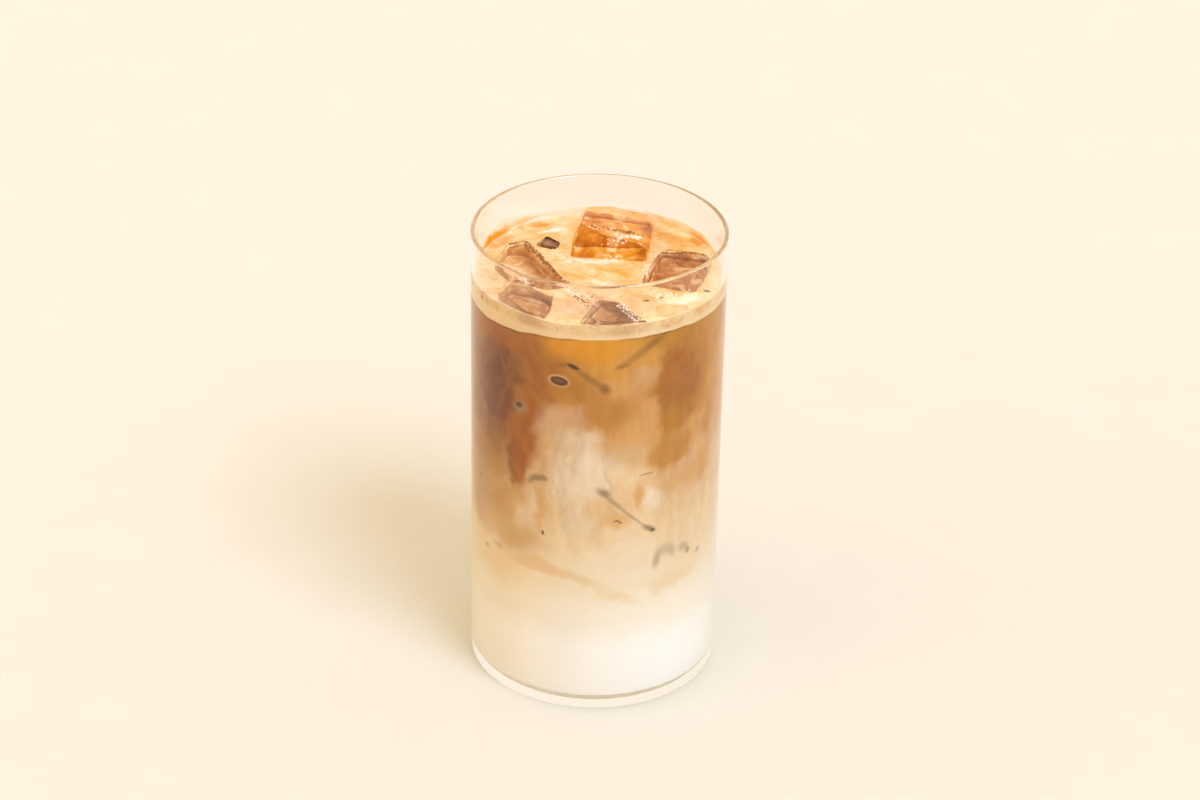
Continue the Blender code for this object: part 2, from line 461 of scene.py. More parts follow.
FRONT_PLUMES = (
    # thin coffee in the milk, low down
    Plume(PALE_PEACH, -50, 44, 15, 9, strength=0.8),
    Plume(TAN, -42, 54, 17, 6, strength=0.5),
    Plume(PALE_PEACH, 50, 50, 16, 8, strength=0.8),
    Plume(SAND, 38, 42, 12, 3.5, lean=8, strength=0.5),
    Plume(CREAM, 4, 50, 12, 8, strength=0.9),
    Plume(CREAM, 20, 56, 8, 5, strength=0.7),
    Plume(SAND, -25, 47.5, 10, 2.6, strength=0.9, soft=0.6),
    Plume(SAND, -8, 46, 9, 2.2, lean=-18, strength=0.7),
    Plume(PALE_PEACH, 10, 39.5, 11, 2.0, lean=-28, strength=0.9),
    # tan at the left, below the dark column
    Plume(TAN, -52, 66, 18, 13),
    Plume(TAN, -68, 62, 8, 14, strength=0.9),
    Plume(TAN, -36, 55, 8, 6, strength=0.6),
    # the dark column at the left
    Plume(OLD_GOLD, -70, 92, 14, 26),
    Plume(OLD_GOLD, -74, 114, 8, 12),
    Plume(WEAK_COFFEE, -55, 97, 13, 24, soft=0.7),
    Plume(OLD_GOLD, -58, 79, 12, 9, strength=0.7),
    Plume(WEAK_COFFEE, -38, 112, 12, 9, soft=0.6),
    Plume(COFFEE, -50, 107, 8, 13),
    Plume(COFFEE, -47, 97, 6, 8, strength=0.8),
    Plume(COFFEE, -55, 93, 6, 4, strength=0.6),
    Plume(RUST, -46, 119.5, 16, 4.5, soft=0.6),
    Plume(BROWN_SUGAR, -70, 118, 7, 6),
    # the orange lobe beside it
    Plume(RUST, -34, 92, 7, 13, lean=-12, soft=0.45),
    Plume(RUST, -37, 81, 4.5, 9, lean=-12, soft=0.6),
    Plume(WEAK_COFFEE, -41, 80, 1.6, 8, soft=0.7),
    Plume(RUST, -25, 110, 7, 10, strength=0.9, soft=0.6),
    Plume(BROWN_SUGAR, -15, 109, 8, 5, lean=-20),
    Plume(BROWN_SUGAR, -9, 106, 5, 4, strength=0.7),
    # amber under the foam
    Plume(HONEY, 18, 111, 13, 11),
    Plume(LIGHT_AMBER, 3, 116, 12, 6),
    Plume(LIGHT_AMBER, 14, 121, 12, 5, strength=0.9),
    Plume(AMBER, -4, 122.5, 13, 4.5, soft=0.5),
    Plume(AMBER, -19, 122, 7, 3, strength=0.6),
    Plume(RUST, -28, 121, 4, 5, strength=0.8),
    Plume(LIGHT_AMBER, 22, 117, 9, 1.8, lean=28, strength=0.8),
    # a brown patch in the middle and the haze beside it
    Plume(PINK_HAZE, -18, 96, 8, 7, strength=0.95, soft=0.6),
    Plume(PINK_HAZE, -8, 100, 5, 4, strength=0.8),
    Plume(CARAMEL, 6, 101, 9.5, 6, soft=0.6),
    Plume(CARAMEL, 0, 106, 5, 4, strength=0.7),
    Plume(HONEY, 24, 96, 4, 9, strength=0.8),
    Plume(PINK_HAZE, 23, 112, 4, 4, strength=0.6),
    # milk drawn up in clouds
    Plume(CLOUD_SHADE, -10, 91, 11, 5, lean=12, soft=0.6),
    Plume(CLOUD, -8, 92, 7, 4, strength=0.8),
    Plume(CLOUD_SHADE, -22, 83, 6, 6, lean=30, strength=0.9),
    Plume(CLOUD, -3, 82, 12, 8.5, lean=-10, soft=0.5),
    Plume(CLOUD_SHADE, 14, 88, 8, 5, strength=0.9),
    Plume(PALE_PEACH, 12, 80, 8, 5, strength=0.9),
    Plume(CLOUD, -12, 76, 9, 7, lean=40, soft=0.6),
    Plume(CLOUD, -30, 69, 4, 6, strength=0.9),
    Plume(CLOUD, -34, 64, 5, 4, strength=0.7),
    Plume(CLOUD, -8, 66, 6, 9, strength=0.8),
    Plume(HONEY, -26, 68, 2.6, 9, strength=0.8),
    Plume(SAND, 3, 68, 7, 6, strength=0.9),
    Plume(HONEY, 12, 65, 4, 3.5, strength=0.7),
    Plume(HONEY, 20, 73, 1.8, 6, strength=0.9),
    Plume(CLOUD, 28, 72, 4, 4.5, soft=0.6),
    Plume(PALE_PEACH, 24, 65, 7, 4, strength=0.8),
    # the coffee that sinks at the right
    Plume(LIGHT_AMBER, 60, 108, 10, 18),
    Plume(BROWN_SUGAR, 45, 111, 11, 14, soft=0.5),
    Plume(RUST, 41, 106, 8.5, 13, soft=0.45),
    Plume(RUST, 36, 108, 4.5, 11, strength=0.9, soft=0.6),
    Plume(BROWN_SUGAR, 36, 95, 5, 6, soft=0.5),
    Plume(BROWN_SUGAR, 51, 98, 7, 6, strength=0.8),
    Plume(CARAMEL, 37, 86, 9, 6, lean=10, soft=0.5),
    Plume(BROWN_SUGAR, 32, 88, 3, 5, strength=0.6),
    Plume(HONEY, 54, 89, 5, 6, strength=0.9),
    Plume(CARAMEL, 62, 92, 4, 12, strength=0.9),
    Plume(LIGHT_AMBER, 58, 77, 5, 7, strength=0.8),
    Plume(HONEY, 45, 76, 10, 5, strength=0.5),
    # a pale band near the right edge: partly paler drink, partly painted reflection of the bright floor in
    # the rounded wall
    Plume(HONEY, 78, 104, 7, 24, strength=0.9),
)
print(len(FRONT_PLUMES), "clouds seen at the front")

# %% [markdown]
# Ice that has sunk to the wall shows through the drink as soft grey-brown strokes, blurred by the
# milk in front of it. They are ovals too, but laid on last and on the smooth wall, so that they
# keep their shape. The thin dark line under the foam's edge is painted shade, and it and one bubble
# that is pressed flat against the wall are drawn the same way.

# %% Strokes of sunken ice, and painted shade under the foam
ICE_MARK_AND_EDGE_SHADE = "#8C5E22"
ICE_GREY = "#8A744E"
ICE_MIST = "#B9A27E"
ICE_DARK = "#4A2704"
SUNKEN_MARKS_AND_EDGE_SHADE = (
    # painted shade along the foam's lower edge
    Plume(ICE_MARK_AND_EDGE_SHADE, -48, 122.3, 15, 0.8, lean=4, strength=0.7),
    Plume(ICE_MARK_AND_EDGE_SHADE, -18, 123.9, 9, 0.6, lean=3, strength=0.5),
    Plume(ICE_MARK_AND_EDGE_SHADE, 31, 124.7, 14, 0.8, strength=0.7),
    # a bubble pressed flat against the wall
    Plume("#E0B070", -17, 110.5, 3.0, 1.75, lean=-6, strength=0.9, soft=0.25),
    Plume("#5E3408", -17, 110.4, 2.5, 1.3, lean=-6, strength=0.95, soft=0.25),
    Plume("#8E6430", -17.5, 110.6, 1.5, 0.4, lean=-8, strength=0.8, soft=0.5),
    # a long edge from the foam down to the left
    Plume(ICE_MARK_AND_EDGE_SHADE, 20.5, 119.9, 8.5, 1.6, lean=32, strength=0.5),
    Plume(ICE_MARK_AND_EDGE_SHADE, 26.5, 122.5, 4.0, 1.4, lean=20, strength=0.6),
    Plume(ICE_MARK_AND_EDGE_SHADE, 11.5, 116.0, 2.8, 1.1, lean=14, strength=0.65),
    # an edge that falls to the right, with a dark head
    Plume(ICE_MARK_AND_EDGE_SHADE, -16, 115.6, 3.2, 1.0, lean=10, strength=0.55),
    Plume(ICE_MARK_AND_EDGE_SHADE, -3.0, 112.0, 7.5, 1.4, lean=-34, strength=0.6),
    Plume(ICE_MARK_AND_EDGE_SHADE, 3.8, 108.8, 2.2, 1.9, lean=-40, strength=0.8),
    Plume(ICE_DARK, -10.6, 115.6, 2.1, 0.8, lean=-22, strength=0.9, soft=0.6),
    # a corner in the dark column
    Plume("#A8925A", -36.5, 98.8, 3.2, 2.3, lean=25, strength=0.8, soft=0.7),
    Plume(ICE_MARK_AND_EDGE_SHADE, -41, 96.8, 2.8, 1.2, lean=32, strength=0.6),
    Plume(ICE_DARK, -37.2, 99.4, 1.3, 1.0, lean=10, strength=0.85, soft=0.6),
    # a hooked corner in the clouds
    Plume(ICE_GREY, -27, 77.4, 3.2, 1.5, lean=12, strength=0.85),
    Plume(ICE_GREY, -30.4, 76.0, 1.3, 1.8, lean=-40, strength=0.6),
    Plume(ICE_GREY, -23.6, 77.8, 1.6, 1.2, lean=-30, strength=0.6),
    Plume(ICE_DARK, -24, 59.4, 0.5, 0.8, strength=0.8, soft=0.5),
    # the long straight edge across the front
    Plume(ICE_GREY, 4.0, 74.8, 3.0, 1.6, lean=-32, strength=0.8),
    Plume(ICE_GREY, 9.0, 71.5, 4.5, 0.9, lean=-40, strength=0.45),
    Plume(ICE_GREY, 17.0, 66.4, 9.0, 0.6, lean=-42, strength=0.5),
    Plume(ICE_GREY, 26.0, 61.3, 3.2, 1.2, lean=-30, strength=0.85),
    Plume(ICE_DARK, 27.8, 60.5, 0.8, 0.6, strength=0.7, soft=0.5),
    # small curls
    Plume(ICE_MARK_AND_EDGE_SHADE, 10.1, 65.3, 0.8, 0.28, lean=20, strength=0.9, soft=0.5),
    Plume(ICE_MARK_AND_EDGE_SHADE, 11.7, 64.8, 0.9, 0.28, lean=-35, strength=0.9, soft=0.5),
    Plume(ICE_MARK_AND_EDGE_SHADE, 24, 79.8, 2.5, 0.25, lean=4, strength=0.6, soft=0.5),
    # an arch of a cube low at the right
    Plume(ICE_MIST, 34, 52.6, 4.0, 2.6, lean=8, strength=0.6),
    Plume(ICE_GREY, 30.2, 49.6, 1.6, 3.4, lean=-12, strength=0.5),
    Plume(ICE_MIST, 38.5, 51.4, 1.8, 2.6, lean=20, strength=0.6),
    Plume(ICE_MIST, 46, 50.9, 2.8, 1.9, lean=-20, strength=0.75),
    Plume(ICE_GREY, 48.8, 49.0, 1.0, 1.2, strength=0.6, soft=0.6),
    Plume(ICE_MIST, 56.5, 46.9, 1.6, 1.1, lean=20, strength=0.8),
    # faint ones at the left
    Plume(ICE_MIST, -50, 49.0, 3.0, 1.3, strength=0.5),
    Plume(ICE_GREY, -59, 46.2, 1.4, 0.8, lean=15, strength=0.5),
    Plume(ICE_GREY, -66, 68.0, 2.0, 1.0, lean=10, strength=0.5),
)
print(len(SUNKEN_MARKS_AND_EDGE_SHADE), "strokes of sunken ice")

# %% [markdown]
# Nobody sees the far side in one glance, but a reader may turn the glass round. Clouds of the same
# kinds go there from a seeded draw, so that they come out the same each time.

# %% Clouds at the back, from a seeded draw
BACK_SEED = 41
BACK_CLOUDS = 16
BACK_ANGLES = (88, 168)
BACK_HEIGHTS = (45, 120)
DARK_ABOVE = (60, 105)
BACK_HALF_WIDTHS = (6, 12)
BACK_HALF_HEIGHTS = (7, 18)
BACK_LEANS = (-30, 30)
BACK_STRENGTHS = (0.6, 0.95)
back_draw = random.Random(BACK_SEED)
BACK_PLUMES = []
for number in range(BACK_CLOUDS):
    side = 1 if number % 2 else -1
    height = back_draw.uniform(*BACK_HEIGHTS)
    dark = height > back_draw.uniform(*DARK_ABOVE)
    kinds = (RUST, CARAMEL, COFFEE, LIGHT_AMBER, BROWN_SUGAR) if dark else (CLOUD, PALE_PEACH, TAN)
    BACK_PLUMES.append(
        Plume(
            back_draw.choice(kinds),
            side * back_draw.uniform(*BACK_ANGLES),
            height,
            back_draw.uniform(*BACK_HALF_WIDTHS),
            back_draw.uniform(*BACK_HALF_HEIGHTS),
            lean=back_draw.uniform(*BACK_LEANS),
            strength=back_draw.uniform(*BACK_STRENGTHS),
        )
    )
print(len(BACK_PLUMES), "clouds at the back")

# %% [markdown]
# The whole drink is one material, laid on both the milk and the coffee above it, because no line
# parts them in the glass. Under the clouds lies a plain run from white milk to caramel.
# Milk is a thick emulsion of fat: it scatters light and looks matt and full, never clear. Its
# surface against glass has almost no shine, as the two bend light alike.

# %% Milk with coffee in it
DRINK_ROUGHNESS = 0.55
DRINK_IOR = 1.35
WET_CONTACT_SHINE = 0.05
STREAK_SIZE = 2.4 * MM
STREAK_STRETCH = 0.3
STREAK_STRENGTH = 0.12
STREAKS_FROM = 45.0
STREAKS_FULL = 80.0
WISPS_FROM = 40.0
WISPS_FULL = 75.0
WISP_STRETCH = 0.6
WISPS = (
    # sizes in millimetres of wall
    {"colour": "#DEB468", "size": 24.0, "curl": 1.0, "width": 0.08, "strength": 0.14, "seed": 3.0},
    {"colour": "#A86400", "size": 30.0, "curl": 1.2, "width": 0.07, "strength": 0.20, "seed": 9.0},
    {"colour": "#D89C34", "size": 11.0, "curl": 0.8, "width": 0.08, "strength": 0.16, "seed": 17.0},
)
COLUMN_HEIGHT = 124.0
RUN_OF_COLOURS = (
    (0.0, MILK_WHITE),
    (20.0, MILK_WHITE),
    (32.0, WARM_MILK),
    (44.0, CREAM),
    (60.0, PALE_PEACH),
    (78.0, SAND),
    (92.0, HONEY),
    (124.0, BROWN_SUGAR),
)


def height_run(material, wall):
    """The plain run of colour from the bottom of the drink to the foam."""
    height = add_node(material, "ShaderNodeSeparateXYZ", {0: wall}).outputs["Y"]
    share = add_node(material, "ShaderNodeMath", {0: height, 1: COLUMN_HEIGHT}, operation="DIVIDE")
    ramp = add_node(material, "ShaderNodeValToRGB", {"Fac": share.outputs[0]})
    ramp.color_ramp.interpolation = "EASE"
    stops = ramp.color_ramp.elements
    while len(stops) < len(RUN_OF_COLOURS):
        stops.new(0.5)
    for stop, (level, colour) in zip(stops, RUN_OF_COLOURS):
        stop.position = level / COLUMN_HEIGHT
        stop.color = linear(colour)
    return ramp.outputs["Color"]


def wisps(material, wall, below, wisp):
    """Thin curling veils of one colour, where a swirling noise comes close to its middle value."""
    tall = add_node(material, "ShaderNodeMapping", {"Vector": wall, "Scale": (1.0, WISP_STRETCH, 1.0)})
    swirl = add_node(
        material,
        "ShaderNodeTexNoise",
        {
            "Vector": tall.outputs[0],
            "W": wisp["seed"],
            "Scale": 1 / wisp["size"],
            "Detail": 5.0,
            "Roughness": 0.55,
            "Distortion": wisp["curl"],
        },
        noise_dimensions="4D",
    )
    veil = add_node(material, "ShaderNodeValToRGB", {"Fac": swirl.outputs[0]})
    stops = veil.color_ramp.elements
    stops.new(MIDDLE_OF_NOISE)
    for stop, offset, brightness in zip(stops, (-wisp["width"], 0.0, wisp["width"]), (0.0, 1.0, 0.0)):
        stop.position = MIDDLE_OF_NOISE + offset
        stop.color = (brightness, brightness, brightness, 1.0)
    height = add_node(material, "ShaderNodeSeparateXYZ", {0: wall}).outputs["Y"]
    rising = add_node(
        material,
        "ShaderNodeMapRange",
        {"Value": height, "From Min": WISPS_FROM, "From Max": WISPS_FULL, "To Max": wisp["strength"]},
        interpolation_type="SMOOTHSTEP",
    )
    share = add_node(
        material, "ShaderNodeMath", {0: veil.outputs[0], 1: rising.outputs[0]}, operation="MULTIPLY"
    )
    mixed = add_node(
        material,
        "ShaderNodeMix",
        {0: share.outputs[0], 6: below, 7: linear(wisp["colour"])},
        data_type="RGBA",
    )
    return mixed.outputs[2]


def streaked(material, where, wall, colour):
    """Thin upright threads of lighter and darker drink over a colour, fading out in the milk."""
    stretched = add_node(
        material, "ShaderNodeMapping", {"Vector": where, "Scale": (1.0, 1.0, STREAK_STRETCH)}
    )
    threads = add_node(
        material,
        "ShaderNodeTexNoise",
        {"Vector": stretched.outputs[0], "Scale": 1 / STREAK_SIZE, "Detail": 3.0, "Roughness": 0.6},
    )
    value = add_node(
        material,
        "ShaderNodeMapRange",
        {"Value": threads.outputs[0], "To Min": 1 - STREAK_STRENGTH, "To Max": 1 + STREAK_STRENGTH},
    )
    height = add_node(material, "ShaderNodeSeparateXYZ", {0: wall}).outputs["Y"]
    above_milk = add_node(
        material,
        "ShaderNodeMapRange",
        {"Value": height, "From Min": STREAKS_FROM, "From Max": STREAKS_FULL},
    )
    return add_node(
        material,
        "ShaderNodeHueSaturation",
        {"Color": colour, "Value": value.outputs[0], "Fac": above_milk.outputs[0]},
    ).outputs[0]


milk_and_coffee, drink_output = new_material("milk_and_coffee")
flat_wall, ragged_wall, where = unrolled_wall(milk_and_coffee)
colour = height_run(milk_and_coffee, ragged_wall)
for plume in (*BACK_PLUMES, *FRONT_PLUMES):
    colour = plume.lay_over(milk_and_coffee, ragged_wall, colour)
for wisp in WISPS:
    colour = wisps(milk_and_coffee, ragged_wall, colour, wisp)
colour = streaked(milk_and_coffee, where, ragged_wall, colour)
for mark in SUNKEN_MARKS_AND_EDGE_SHADE:
    colour = mark.lay_over(milk_and_coffee, flat_wall, colour)
drink_shader = add_node(
    milk_and_coffee,
    "ShaderNodeBsdfPrincipled",
    {
        "Base Color": colour,
        "Roughness": DRINK_ROUGHNESS,
        "IOR": DRINK_IOR,
        "Specular IOR Level": WET_CONTACT_SHINE,
    },
)
milk_and_coffee.node_tree.links.new(drink_shader.outputs[0], drink_output.inputs["Surface"])
print(len(milk_and_coffee.node_tree.nodes), "nodes in the drink's finish")

# %% [markdown]
# ## The levels in the glass
# Each layer is a closed body between two height functions. The milk follows the rounded corner of
# the glass, the coffee meets the milk on a tilted, rolling line, and the foam's lower edge on the
# wall rises and falls by a millimetre or two, as it does in any poured drink.

# %% Height functions
POUR_TILT = 3.0 * MM
POUR_ROLL = 1.2 * MM
POUR_WAVES = 2.6
FOAM_EDGE_HEIGHTS = (
    # degrees round from the front, millimetres up
    (-180, 124.0),
    (-120, 122.6),
    (-60, 122.0),
    (-40, 122.8),
    (-28, 123.7),
    (0, 124.4),
    (30, 124.8),
    (60, 124.2),
    (120, 124.6),
    (180, 124.0),
)
EDGE_TREMBLE = 0.35 * MM
EDGE_TREMBLE_SIZE = 5.0 * MM


def glass_floor(x, y):
    """Height of the drink's underside, just inside the surface of the glass."""
    beyond = math.hypot(x, y) - (INSIDE_RADIUS - FLOOR_FILLET)
    corner = FLOOR_FILLET + WALL_REACH
    if beyond <= 0:
        return FLOOR_THICKNESS - WALL_REACH
    return FLOOR_THICKNESS + FLOOR_FILLET - math.sqrt(max(corner**2 - beyond**2, 0.0))


def pour_line(x, y):
    """Height of the boundary between milk and coffee."""
    across = x / INSIDE_RADIUS
    away = y / INSIDE_RADIUS
    return MILK_LEVEL + POUR_TILT * across + POUR_ROLL * math.sin(POUR_WAVES * away + across)


def level_at(heights, azimuth):
    """Read a height at an angle from a list of (angle, height) pairs, with smooth steps between."""
    level = heights[0][1]
    for (start, low), (end, high) in zip(heights, heights[1:]):
        if start <= azimuth <= end:
            share = (azimuth - start) / (end - start)
            smooth = share * share * (3 - 2 * share)
            level = low + (high - low) * smooth
    return level * MM


def foam_edge(x, y):
    """Height of the foam's lower edge on the wall at a place round the glass."""
    azimuth = math.degrees(math.atan2(x, -y))
    tremble = noise.noise(Vector((x, y, 0.0)) / EDGE_TREMBLE_SIZE) * EDGE_TREMBLE
    return level_at(FOAM_EDGE_HEIGHTS, azimuth) + tremble


def layer(name, radii, sides, floor, ceiling, material):
    """A round body of drink between two height functions."""
    profile = [(radius, 1.0) for radius in radii] + [(radius, 0.0) for radius in reversed(radii)]
    shape = turned(profile, sides)
    for vert in shape.verts:
        level = ceiling if vert.co.z > 0.5 else floor
        vert.co.z = level(vert.co.x, vert.co.y)
    return piece_from(name, shape, material)


# %% The milk at the bottom
DRINK_SIDES = 256
CORNER_STEPS = 8
milk_radii = [0.0, 12 * MM, 24 * MM]
for step in range(CORNER_STEPS + 1):
    turn = math.radians(90 * step / CORNER_STEPS)
    milk_radii.append(INSIDE_RADIUS - FLOOR_FILLET + (FLOOR_FILLET + WALL_REACH) * math.sin(turn))
cold_milk = layer("cold_milk", milk_radii, DRINK_SIDES, glass_floor, pour_line, milk_and_coffee)
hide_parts("milk_layer")
on_the_part(cold_milk)

# %% [markdown]
# ## Ice
# Cubes from a tray, worn by the drink: their edges have melted round and their faces are no longer
# flat. Each starts from the CAD block. Small flakes are broken off the ones that stand high, and the
# block is remeshed into small even faces so that it can be roughened. Room for each is then cut from
# the drink and foam. That room is a little smaller than the ice, so the drink meets the ice with no
# air gap, as water does. It is only as deep as light would reach, because deeper down the thick drink
# hides the ice, and it stands a little higher than the ice, so that it opens through the foam.

# %% Frozen water
# Ice bends light by 1.31, less than glass. Fast freezing leaves a fine waviness and a slight haze,
# and here it carries the warm tint of the drink that it stands in.
ICE_IOR = 1.31
ICE_ROUGHNESS = 0.04
MELT_DIMPLE = 3.2 * MM
MELT_DIMPLE_DEPTH = 0.35 * MM
MELT_DIMPLE_STRENGTH = 0.35
ICE_PARTS = sorted(name for name in frame["nodes"] if name.startswith("ice_"))


def melt_dimples(material):
    """The shallow dimples that melting leaves on a face of ice."""
    place = add_node(material, "ShaderNodeTexCoord")
    dimples = add_node(
        material,
        "ShaderNodeTexNoise",
        {"Vector": place.outputs["Object"], "Scale": 1 / MELT_DIMPLE, "Detail": 3.0, "Roughness": 0.5},
    )
    bump = add_node(
        material,
        "ShaderNodeBump",
        {"Strength": MELT_DIMPLE_STRENGTH, "Distance": MELT_DIMPLE_DEPTH, "Height": dimples.outputs[0]},
    )
    return bump.outputs[0]


ICE_SHINE = 0.5
tray_ice = clear_body(
    "tray_ice", "#FFF6E6", ICE_IOR, ICE_ROUGHNESS, ICE_SHINE, "#FFEFD2", melt_dimples
)

# %% Copy a CAD block and melt its faces
ICE_GRAIN = 0.4 * MM
ICE_SMOOTHING = 3
ICE_WAVE = 4.0 * MM
ICE_WAVE_DEPTH = 0.14 * MM
CHIPS = 7
CHIP_SEED = 5
CHIP_DEPTH = (0.5 * MM, 1.5 * MM)
CHIP_LOWEST = 20
CHIP_HIGHEST = 62
TALL_ENOUGH_TO_CHIP = 130.5 * MM
ICE_ROOM_SHRINK = 0.45 * MM
ROOM_FLOOR = 121.5 * MM
ROOM_LIFT = 0.7 * MM
ROOM_FLOOR_SLANT = 12
WELD = 0.002 * MM
chip_draw = random.Random(CHIP_SEED)


def welded(name):
    """A bmesh of a CAD block with its doubled corners joined."""
    shape = bmesh.new()
    shape.from_mesh(frame["nodes"][name].data)
    bmesh.ops.remove_doubles(shape, verts=shape.verts, dist=WELD)
    bmesh.ops.recalc_face_normals(shape, faces=shape.faces)
    shape.normal_update()
    return shape


def sliced(shape, point, facing):
    """Cut away what lies beyond a plane, and close the cut."""
    cut = bmesh.ops.bisect_plane(
        shape,
        geom=shape.verts[:] + shape.edges[:] + shape.faces[:],
        plane_co=point,
        plane_no=facing,
        clear_outer=True,
    )
    rim = [item for item in cut["geom_cut"] if isinstance(item, bmesh.types.BMEdge)]
    bmesh.ops.edgeloop_fill(shape, edges=rim)


def chipped(shape):
    """Break small flakes off the corners and edges of a block that stands well out of the foam."""
    if max(vert.co.z for vert in shape.verts) < TALL_ENOUGH_TO_CHIP:
        return shape
    for _ in range(CHIPS):
        around = chip_draw.uniform(0, TURN)
        up = math.radians(chip_draw.uniform(CHIP_LOWEST, CHIP_HIGHEST))
        facing = Vector((math.cos(around) * math.cos(up), math.sin(around) * math.cos(up), math.sin(up)))
        reach = max(vert.co.dot(facing) for vert in shape.verts)
        sliced(shape, facing * (reach - chip_draw.uniform(*CHIP_DEPTH)), facing)
    return shape


def melted_block(name, number):
    """The block with chipped corners, small even faces, softened edges and waves melted into it."""
    block = piece_from("floating_" + name, chipped(welded(name)), tray_ice)
    grain = block.modifiers.new("small even faces", "REMESH")
    grain.mode = "VOXEL"
    grain.voxel_size = ICE_GRAIN
    soften = block.modifiers.new("softened", "SMOOTH")
    soften.factor = 0.5
    soften.iterations = ICE_SMOOTHING
    apply_modifiers(block)
    shape = bmesh.new()
    shape.from_mesh(block.data)
    shape.normal_update()
    drift = Vector((number, 2.0 * number, 0.0))
    for vert in shape.verts:
        wave = noise.noise(vert.co / ICE_WAVE + drift)
        vert.co += vert.normal * ICE_WAVE_DEPTH * wave
    shape.to_mesh(block.data)
    shape.free()
    block.data.shade_smooth()
    if not block.data.materials:
        block.data.materials.append(tray_ice)
    return block


floating_ice = {}
for number, name in enumerate(ICE_PARTS):
    block = melted_block(name, number)
    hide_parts(name)
    on_the_part(block)
    floating_ice[name] = block

# %% [markdown]
# What shows through a block of ice is the drink behind it. There it is coffee with a little milk,
# browner than the foam, clouded at the size of a fingertip.

# %% Coffee seen through ice
POCKET_CLOUD = 5.0 * MM
POCKET_ROUGHNESS = 0.6
POCKET_TONES = {
    # dark, middle and pale tone behind each block
    "ice_left": ("#C98838", "#EEC07C", "#FBE6C0"),
    "ice_left_front": ("#B4702A", "#DDA660", "#F6DCAC"),
    "ice_back": ("#CC7C14", "#E8A63C", "#F8DCA4"),
    "ice_back_left": ("#C07428", "#E0A04C", "#F0CA90"),
    "ice_right": ("#B06C24", "#DEA054", "#F6D49A"),
    "ice_front": ("#AC6A28", "#D8A262", "#F4DAAE"),
    "ice_front_right": ("#A0601C", "#CC904C", "#E8C08C"),
}
TONE_PLACES = (0.32, 0.50, 0.66)


def coffee_behind(name, tones):
    """The drink behind one block of ice: matt, and clouded in three tones."""
    material, output = new_material("coffee_behind_" + name)
    place = add_node(material, "ShaderNodeTexCoord").outputs["Object"]
    clouds = add_node(
        material,
        "ShaderNodeTexNoise",
        {"Vector": place, "Scale": 1 / POCKET_CLOUD, "Detail": 4.0, "Distortion": 0.8},
    )
    tone = add_node(material, "ShaderNodeValToRGB", {"Fac": clouds.outputs[0]})
    stops = tone.color_ramp.elements
    stops.new(MIDDLE_OF_NOISE)
    for stop, position, shade in zip(stops, TONE_PLACES, tones):
        stop.position = position
        stop.color = linear(shade)
    shader = add_node(
        material,
        "ShaderNodeBsdfPrincipled",
        {
            "Base Color": tone.outputs[0],
            "Roughness": POCKET_ROUGHNESS,
            "Specular IOR Level": WET_CONTACT_SHINE,
        },
    )
    material.node_tree.links.new(shader.outputs[0], output.inputs["Surface"])
    return material


pocket_finish = {name: coffee_behind(name, POCKET_TONES[name]) for name in ICE_PARTS}

# %% The room that the ice takes from the drink
ice_room = bpy.data.collections.new("room for ice")
bpy.context.scene.collection.children.link(ice_room)
slant = math.radians(ROOM_FLOOR_SLANT)
for number, name in enumerate(ICE_PARTS):
    shape = welded(name)
    for vert in shape.verts:
        vert.co -= vert.normal * ICE_ROOM_SHRINK
        vert.co.z += ROOM_LIFT
    middle = sum((vert.co for vert in shape.verts), Vector()) / len(shape.verts)
    middle.z = ROOM_FLOOR
    towards = TURN * number / len(ICE_PARTS)
    sideways = Vector((math.cos(towards), math.sin(towards), 0.0)) * math.sin(slant)
    below = sideways + Vector((0.0, 0.0, -math.cos(slant)))
    sliced(shape, middle, below)
    room = piece_from("room_" + name, shape, None)
    bpy.context.scene.collection.objects.unlink(room)
    ice_room.objects.link(room)


def surface_of(mesh):
    """A mesh as a surface that can be searched for the nearest point."""
    whole = bmesh.new()
    whole.from_mesh(mesh)
    tree = BVHTree.FromBMesh(whole)
    whole.free()
    return tree


room_surface = {name: surface_of(ice_room.objects["room_" + name].data) for name in ICE_PARTS}
ON_THE_SURFACE = 0.005 * MM


def make_room(piece):
    """Cut the room for every ice block from a piece of drink, and stain the cut faces with coffee."""
    cut = piece.modifiers.new("room for ice", "BOOLEAN")
    cut.operation = "DIFFERENCE"
    cut.operand_type = "COLLECTION"
    cut.collection = ice_room
    apply_modifiers(piece)
    for name in ICE_PARTS:
        piece.data.materials.append(pocket_finish[name])
        stained = len(piece.data.materials) - 1
        for face in piece.data.polygons:
            if room_surface[name].find_nearest(face.center, ON_THE_SURFACE)[0]:
                face.material_index = stained
    return piece


# %% The coffee above the milk
latte_radii = [0.0, 10 * MM, 20 * MM, 28 * MM, 33 * MM, DRINK_RADIUS]
sinking_coffee = layer(
    "sinking_coffee", latte_radii, DRINK_SIDES, pour_line, foam_edge, milk_and_coffee
)
make_room(sinking_coffee)
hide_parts("marbled_latte")
on_the_part(sinking_coffee)

# %% [markdown]
# ## Foam
# The foam is a thin crema of coffee oils and milk, almost flat, with small bubbles. It creeps up
# the glass and up each piece of ice. That creep is worked out from the distance to the nearest ice.

# %% Crema
FOAM_ROUGHNESS = 0.35
FOAM_IOR = 1.33
SWIRL_SIZE = 9.0 * MM
FOAM_CREAM = "#EDC27C"
FOAM_AMBER = "#E4A438"
FOAM_PALE = "#F5DAA2"
FOAM_AT_WALL = "#F7DEA6"
PALE_FROM = 30.5 * MM
WALL_SHARE = 0.4
FOAM_TONES = ((0.32, FOAM_AMBER), (0.5, FOAM_CREAM), (0.7, FOAM_PALE))

